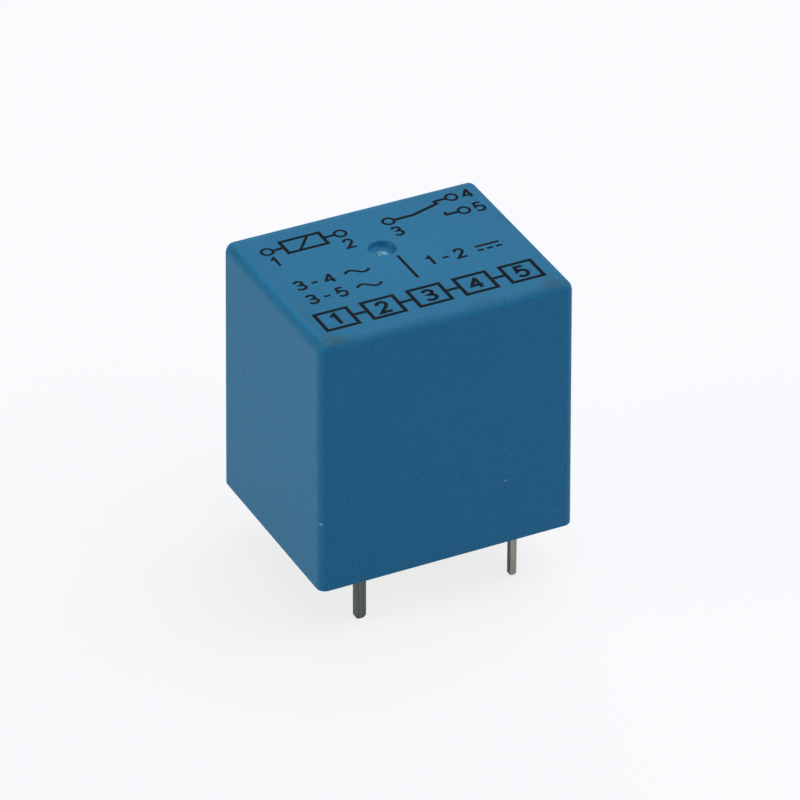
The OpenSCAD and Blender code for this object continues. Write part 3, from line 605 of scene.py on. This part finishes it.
# how each figure is drawn, in shares of its height
STROKES = {
    "1": ((0.1, 0.78), (0.36, 1.0), (0.36, 0.0)),
    "2": ((0.03, 0.74), (0.08, 0.9), (0.2, 0.985), (0.32, 1.0), (0.45, 0.96), (0.55, 0.84), (0.56, 0.7),
          (0.5, 0.55), (0.0, 0.0), (0.6, 0.0)),
    "3": ((0.03, 0.84), (0.12, 0.95), (0.28, 1.0), (0.44, 0.95), (0.54, 0.84), (0.54, 0.69), (0.44, 0.57),
          (0.25, 0.53), (0.46, 0.49), (0.58, 0.37), (0.59, 0.21), (0.49, 0.07), (0.3, 0.0), (0.12, 0.04),
          (0.0, 0.17)),
    "4": ((0.45, 0.0), (0.45, 1.0), (0.0, 0.3), (0.62, 0.3)),
    "5": ((0.54, 1.0), (0.12, 1.0), (0.05, 0.53), (0.16, 0.6), (0.3, 0.63), (0.46, 0.58), (0.57, 0.45),
          (0.58, 0.27), (0.5, 0.1), (0.34, 0.0), (0.15, 0.02), (0.0, 0.14)),
    "-": ((0.08, 0.46), (0.5, 0.46)),
}


def ink_figure(text, x, y, height, width):
    """Figures of ink, centred on a place in the top's plane."""
    tall = height - width
    gap = FIGURE_GAP * width
    step = FIGURE_WIDE * tall + gap
    left = x - (step * len(text) - gap) / 2
    for k, figure in enumerate(text):
        path = [(left + k * step + tall * u, y + tall * (v - 0.5)) for u, v in STROKES[figure]]
        # the upright of a 4 is a stroke of its own, because its corner is too sharp for a mitre
        if figure == "4":
            ink_line(path[:2], width)
            path = path[1:]
        ink_line(path, width)


def pin_mark(x, y):
    """The small ring that stands for a pin."""
    turns = [2 * math.pi * i / RING_STEPS for i in range(RING_STEPS)]
    ring = [(x + PIN_MARK_R * math.cos(a), y + PIN_MARK_R * math.sin(a)) for a in turns]
    ink_line(ring, FINE_LINE, True)


def ink_box(left, right, low, high):
    """A box of bold lines."""
    ink_line([(left, low), (right, low), (right, high), (left, high)], BOLD_LINE, True)


# the coil, a box with a slanting line, from pin 1 to pin 2
WIRING_Y, NUMBER_Y = 4.9, 3.5
PIN_1_X, PIN_2_X, PIN_3_X, PINS_4_5_X = -7.3, -1.9, 1.7, 6.9
LINE_FROM = 0.5
COIL_LEFT, COIL_RIGHT, COIL_SLANT = -6.05, -3.15, (-5.2, -4.0)
COIL_LOW, COIL_HIGH = WIRING_Y - 0.75, WIRING_Y + 0.75
pin_mark(PIN_1_X, WIRING_Y)
pin_mark(PIN_2_X, WIRING_Y)
ink_line([(PIN_1_X + LINE_FROM, WIRING_Y), (COIL_LEFT, WIRING_Y)], BOLD_LINE)
ink_line([(COIL_RIGHT, WIRING_Y), (PIN_2_X - LINE_FROM, WIRING_Y)], BOLD_LINE)
ink_box(COIL_LEFT, COIL_RIGHT, COIL_LOW, COIL_HIGH)
ink_line([(COIL_SLANT[0], COIL_LOW), (COIL_SLANT[1], COIL_HIGH)], FINE_LINE)
ink_figure("1", PIN_1_X, NUMBER_Y, SMALL_FIGURE_H, FINE_LINE)
ink_figure("2", PIN_2_X, NUMBER_Y, SMALL_FIGURE_H, FINE_LINE)
# the changeover contact, a blade from pin 3 between pins 4 and 5, each of which ends in a hook
BLADE_PIVOT_X, BLADE_TIP = 3.5, (5.75, 5.55)
PIN_RISE, HOOK_X, HOOK_SHARE, NUMBERS_4_5_X = 0.95, 5.6, 0.62, 8.05
pin_mark(PIN_3_X, WIRING_Y)
ink_line([(PIN_3_X + LINE_FROM, WIRING_Y), (BLADE_PIVOT_X, WIRING_Y), BLADE_TIP], BOLD_LINE)
for figure, rise in (("4", PIN_RISE), ("5", -PIN_RISE)):
    y = WIRING_Y + rise
    pin_mark(PINS_4_5_X, y)
    ink_line([(PINS_4_5_X - LINE_FROM, y), (HOOK_X, y), (HOOK_X, WIRING_Y + HOOK_SHARE * rise)], BOLD_LINE)
    ink_figure(figure, NUMBERS_4_5_X, y, SMALL_FIGURE_H, FINE_LINE)
ink_figure("3", PIN_3_X, NUMBER_Y, SMALL_FIGURE_H, FINE_LINE)
# the contact pairs with a wave for alternating current
PAIR_X, PAIR_ROWS = -6.1, (("3-4", 0.1), ("3-5", -1.8))
WAVE_LEFT, WAVE_LENGTH, WAVE_H, WAVE_STEPS = -3.9, 1.8, 0.26, 20
for pair, y in PAIR_ROWS:
    ink_figure(pair, PAIR_X, y, SMALL_FIGURE_H, FINE_LINE)
    shares = [i / WAVE_STEPS for i in range(WAVE_STEPS + 1)]
    wave = [(WAVE_LEFT + WAVE_LENGTH * s, y + WAVE_H * math.sin(2 * math.pi * s)) for s in shares]
    ink_line(wave, FINE_LINE)
# a dividing line, and the coil's pair with a line over three dashes for direct current
DIVIDER_X, DIVIDER_HIGH, DIVIDER_LOW = 0.3, 0.7, -2.4
COIL_PAIR_X, COIL_PAIR_Y = 3.1, -0.85
DIRECT_LEFT, DIRECT_LENGTH, DIRECT_RISE = 5.4, 1.8, 0.25
DASHES, DASH, DASH_STEP = 3, 0.44, 0.68
ink_line([(DIVIDER_X, DIVIDER_HIGH), (DIVIDER_X, DIVIDER_LOW)], FINE_LINE)
ink_figure("1-2", COIL_PAIR_X, COIL_PAIR_Y, SMALL_FIGURE_H, FINE_LINE)
y = COIL_PAIR_Y + DIRECT_RISE
ink_line([(DIRECT_LEFT, y), (DIRECT_LEFT + DIRECT_LENGTH, y)], FINE_LINE)
y = COIL_PAIR_Y - DIRECT_RISE
for k in range(DASHES):
    x = DIRECT_LEFT + k * DASH_STEP
    ink_line([(x, y), (x + DASH, y)], FINE_LINE)
# the row of numbered pins, joined by short lines
PIN_COUNT, PIN_ROW_X, PIN_ROW_Y, PIN_ROW_STEP = 5, -6.8, -4.7, 3.4
BOX_HALF_W, BOX_HALF_H, BOX_GAP = 1.15, 1.05, 0.15
for place in range(PIN_COUNT):
    x = PIN_ROW_X + PIN_ROW_STEP * place
    ink_box(x - BOX_HALF_W, x + BOX_HALF_W, PIN_ROW_Y - BOX_HALF_H, PIN_ROW_Y + BOX_HALF_H)
    ink_figure(str(place + 1), x, PIN_ROW_Y, FIGURE_H, BOLD_LINE)
    if place:
        margin = BOX_HALF_W + BOX_GAP
        ink_line([(x - PIN_ROW_STEP + margin, PIN_ROW_Y), (x - margin, PIN_ROW_Y)], BOLD_LINE)

bmesh.ops.recalc_face_normals(key_skin, faces=key_skin.faces)
printed_key = new_piece("printed_key", key_skin, print_ink, smooth=False)
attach(printed_key, "frame")


# Resin seal: epoxy poured over the base with the relay upside down, level with the pins through it.
# It creeps a little way up the cover's skirt and up each pin, and holds the cover.

SEAL_FACE, SEAL_BACK = (corner.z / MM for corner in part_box("epoxy_seal"))
SEAL_GAP = 0.01
SEAL_EDGE = COVER_WALL + SEAL_GAP
SEAL_HALF_W, SEAL_HALF_D = COVER_W / 2 - SEAL_EDGE, COVER_D / 2 - SEAL_EDGE
SEAL_STEP, SEAL_CREASE = 0.16, 60
SKIRT_CREEP, SKIRT_REACH = 0.17, 0.3
PIN_CREEP, PIN_REACH = 0.13, 0.22
LOWEST_CREEP = 0.06
SEAL_WAVE, WAVE_TURN_X, WAVE_TURN_Y, WAVE_START = 0.03, 0.5, 0.6, 1
PIN_HALVES = {"nc_pin": (0.4, 0.2), "no_pin": (0.4, 0.2), "coil_pin_rear": (0.25, 0.25),
              "coil_pin_front": (0.25, 0.25), "com_pin": (0.2, 0.5)}
PINS_THROUGH = [(Vector(mount["pos_m"]) / MM, *PIN_HALVES[mount["name"]])
                for mount in frame["record"]["mounts"] if mount["name"] in PIN_HALVES]

# Black epoxy, poured: dark and glossy, with slow waves in the surface. Fine dust has settled on it, drawn
# 0.12 mm wide so that it shows.
poured_epoxy, tree, at = new_finish("black_epoxy_poured")
waves = add(tree, "TexNoise", {"Vector": at, "Scale": 1 / 2.0, "Detail": 3})
dust = add(tree, "TexNoise", {"Vector": at, "Scale": 1 / 0.12, "Detail": 2})
settled = add(tree, "MapRange", {"Value": dust.outputs[0], "From Min": 0.62, "From Max": 0.75, "To Max": 0.5})
depth = add(tree, "Mix", {0: waves.outputs[0], 6: linear("#1D2023"), 7: linear("#2B2E30")}, data_type="RGBA")
tone = add(tree, "Mix", {0: settled.outputs[0], 6: depth.outputs[2], 7: linear("#5A5C5B")}, data_type="RGBA")
gloss = add(tree, "MapRange", {"Value": dust.outputs[0], "To Min": 0.18, "To Max": 0.42})
ripple = add(tree, "Bump", {"Height": waves.outputs[0], "Strength": 0.3, "Distance": 0.1 * MM})
shader = add(tree, "BsdfPrincipled", {"Base Color": tone.outputs[2], "Roughness": gloss.outputs[0],
                                      "IOR": 1.55, "Normal": ripple.outputs[0]})
add(tree, "OutputMaterial", {"Surface": shader.outputs[0]})


def seal_face(x, y):
    """Height of the resin's face, drawn down where it wets the skirt and the pins."""
    edge = min(SEAL_HALF_W - abs(x), SEAL_HALF_D - abs(y))
    z = SEAL_FACE - SKIRT_CREEP * math.exp(-edge / SKIRT_REACH)
    z += SEAL_WAVE * math.sin(WAVE_TURN_X * x + WAVE_START) * math.cos(WAVE_TURN_Y * y)
    for pin, half_x, half_y in PINS_THROUGH:
        gap = math.hypot(max(0.0, abs(x - pin.x) - half_x), max(0.0, abs(y - pin.y) - half_y))
        z -= PIN_CREEP * math.exp(-gap / PIN_REACH)
    return max(z, LOWEST_CREEP)


across = int(2 * SEAL_HALF_W / SEAL_STEP) + 1
deep = int(2 * SEAL_HALF_D / SEAL_STEP) + 1
points, faces = [], []
for j in range(deep):
    for i in range(across):
        x = SEAL_HALF_W * (2 * i / (across - 1) - 1)
        y = SEAL_HALF_D * (2 * j / (deep - 1) - 1)
        points.append((x, y, seal_face(x, y)))
for j in range(deep - 1):
    for i in range(across - 1):
        k = j * across + i
        faces.append((k, k + 1, k + across + 1, k + across))
rim = list(range(across))
rim += [j * across + across - 1 for j in range(1, deep)]
rim += [(deep - 1) * across + i for i in range(across - 2, -1, -1)]
rim += [j * across for j in range(deep - 2, 0, -1)]
first = len(points)
points += [(points[k][0], points[k][1], SEAL_BACK) for k in rim]
faces += [(rim[k], rim[(k + 1) % len(rim)], first + (k + 1) % len(rim), first + k) for k in range(len(rim))]
faces.append(tuple(range(first, first + len(rim))))
seal = build("poured_seal", points, faces, poured_epoxy)
seal.data.set_sharp_from_angle(angle=math.radians(SEAL_CREASE))
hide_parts("epoxy_seal")
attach(seal, "frame")


# Floor, light and camera: a white sheet, a large soft light above, weaker ones from the left and from behind,
# and a dim bluish room. From below the sheet is clear, so that the underside can be looked at too.

FLOOR_SIZE = 4000
PLAIN_WHITE_SHARE = 0.8
TARGET = Vector((0, 0, 9.5922)) * MM
AZIMUTH, ELEVATION, ROLL = -26.3819, 32.6154, 0.1591
DISTANCE = 441.4 * MM
FOCAL_PIXELS, IMAGE_PIXELS, SENSOR = 6567.3, 800, 36.0
OFFSET_PIXELS = (-2.29, -16.97)

# White paper: a bright matt sheet, a little blue, with clouds too faint to notice. What is seen of it,
# directly or mirrored, is mostly plain white, and the rest is lit, so that it keeps the soft shadow.
white_sheet, tree, at = new_finish("white_paper_sheet")
clouds = add(tree, "TexNoise", {"Vector": at, "Scale": 1 / 30, "Detail": 2})
tone = add(tree, "Mix", {0: clouds.outputs[0], 6: linear("#DCE3EE"), 7: linear("#E2E8F1")}, data_type="RGBA")
paper = add(tree, "BsdfDiffuse", {"Color": tone.outputs[2]})
glow = add(tree, "Emission", {"Color": linear("#FFFFFF"), "Strength": 1.0})
ray = add(tree, "LightPath")
seen = add(tree, "Math", {0: ray.outputs["Is Camera Ray"], 1: ray.outputs["Is Glossy Ray"]}, operation="ADD")
seen = add(tree, "Math", {0: seen.outputs[0], 1: ray.outputs["Is Transmission Ray"]}, operation="ADD",
           use_clamp=True)
share = add(tree, "Math", {0: seen.outputs[0], 1: PLAIN_WHITE_SHARE}, operation="MULTIPLY")
lit = add(tree, "MixShader", {0: share.outputs[0], 1: paper.outputs[0], 2: glow.outputs[0]})
clear = add(tree, "BsdfTransparent")
side = add(tree, "NewGeometry")
sheet_shader = add(tree, "MixShader", {0: side.outputs["Backfacing"], 1: lit.outputs[0], 2: clear.outputs[0]})
add(tree, "OutputMaterial", {"Surface": sheet_shader.outputs[0]})
half = FLOOR_SIZE / 2
corners = [(sx * half, sy * half, cad_low.z / MM) for sx, sy in ((-1, -1), (1, -1), (1, 1), (-1, 1))]
floor = build("floor_sheet", corners, [(0, 1, 2, 3)], white_sheet, smooth=False)

studio = bpy.data.worlds.new("dim_bluish_room")
bpy.context.scene.world = studio
studio.use_nodes = True
tree = studio.node_tree
tree.nodes.clear()
room = add(tree, "Background", {"Color": linear("#BFD6FF"), "Strength": 0.22})
add(tree, "OutputWorld", {"Surface": room.outputs[0]})

# each lamp's place and width in metres, its power and its tint
for name, spot, size, watts, tint in (
    ("soft_light_above", (0.36, -0.06, 0.77), 1.4, 9.3, "#FFFEFA"),
    ("soft_light_left", (-0.8, 0.1, 0.25), 0.5, 3.1, "#FFFDEA"),
    ("soft_light_behind", (0.34, 0.68, 0.49), 0.6, 0.9, "#FFFEFA"),
):
    lamp = bpy.data.lights.new(name, "AREA")
    lamp.shape = "DISK"
    lamp.size = size
    lamp.energy = watts
    lamp.color = linear(tint)[:3]
    stand = bpy.data.objects.new(name, lamp)
    stand.location = spot
    stand.rotation_mode = "QUATERNION"
    stand.rotation_quaternion = (TARGET - Vector(spot)).to_track_quat("-Z", "Y")
    bpy.context.scene.collection.objects.link(stand)

a, e = math.radians(AZIMUTH), math.radians(ELEVATION)
back = Vector((math.sin(a) * math.cos(e), -math.cos(a) * math.cos(e), math.sin(e)))
lens = bpy.data.cameras.new("photo_camera")
lens.sensor_width = SENSOR
lens.lens = FOCAL_PIXELS / IMAGE_PIXELS * SENSOR
lens.shift_x = -OFFSET_PIXELS[0] / IMAGE_PIXELS
lens.shift_y = OFFSET_PIXELS[1] / IMAGE_PIXELS
lens.clip_start, lens.clip_end = 0.01, 10
camera = bpy.data.objects.new("photo_camera", lens)
camera.location = TARGET + back * DISTANCE
camera.rotation_mode = "QUATERNION"
camera.rotation_quaternion = ((-back).to_track_quat("-Z", "Y")
                              @ Quaternion((0, 0, 1), math.radians(ROLL)))
bpy.context.scene.collection.objects.link(camera)
bpy.context.scene.camera = camera
bpy.context.scene.view_settings.view_transform = "Standard"
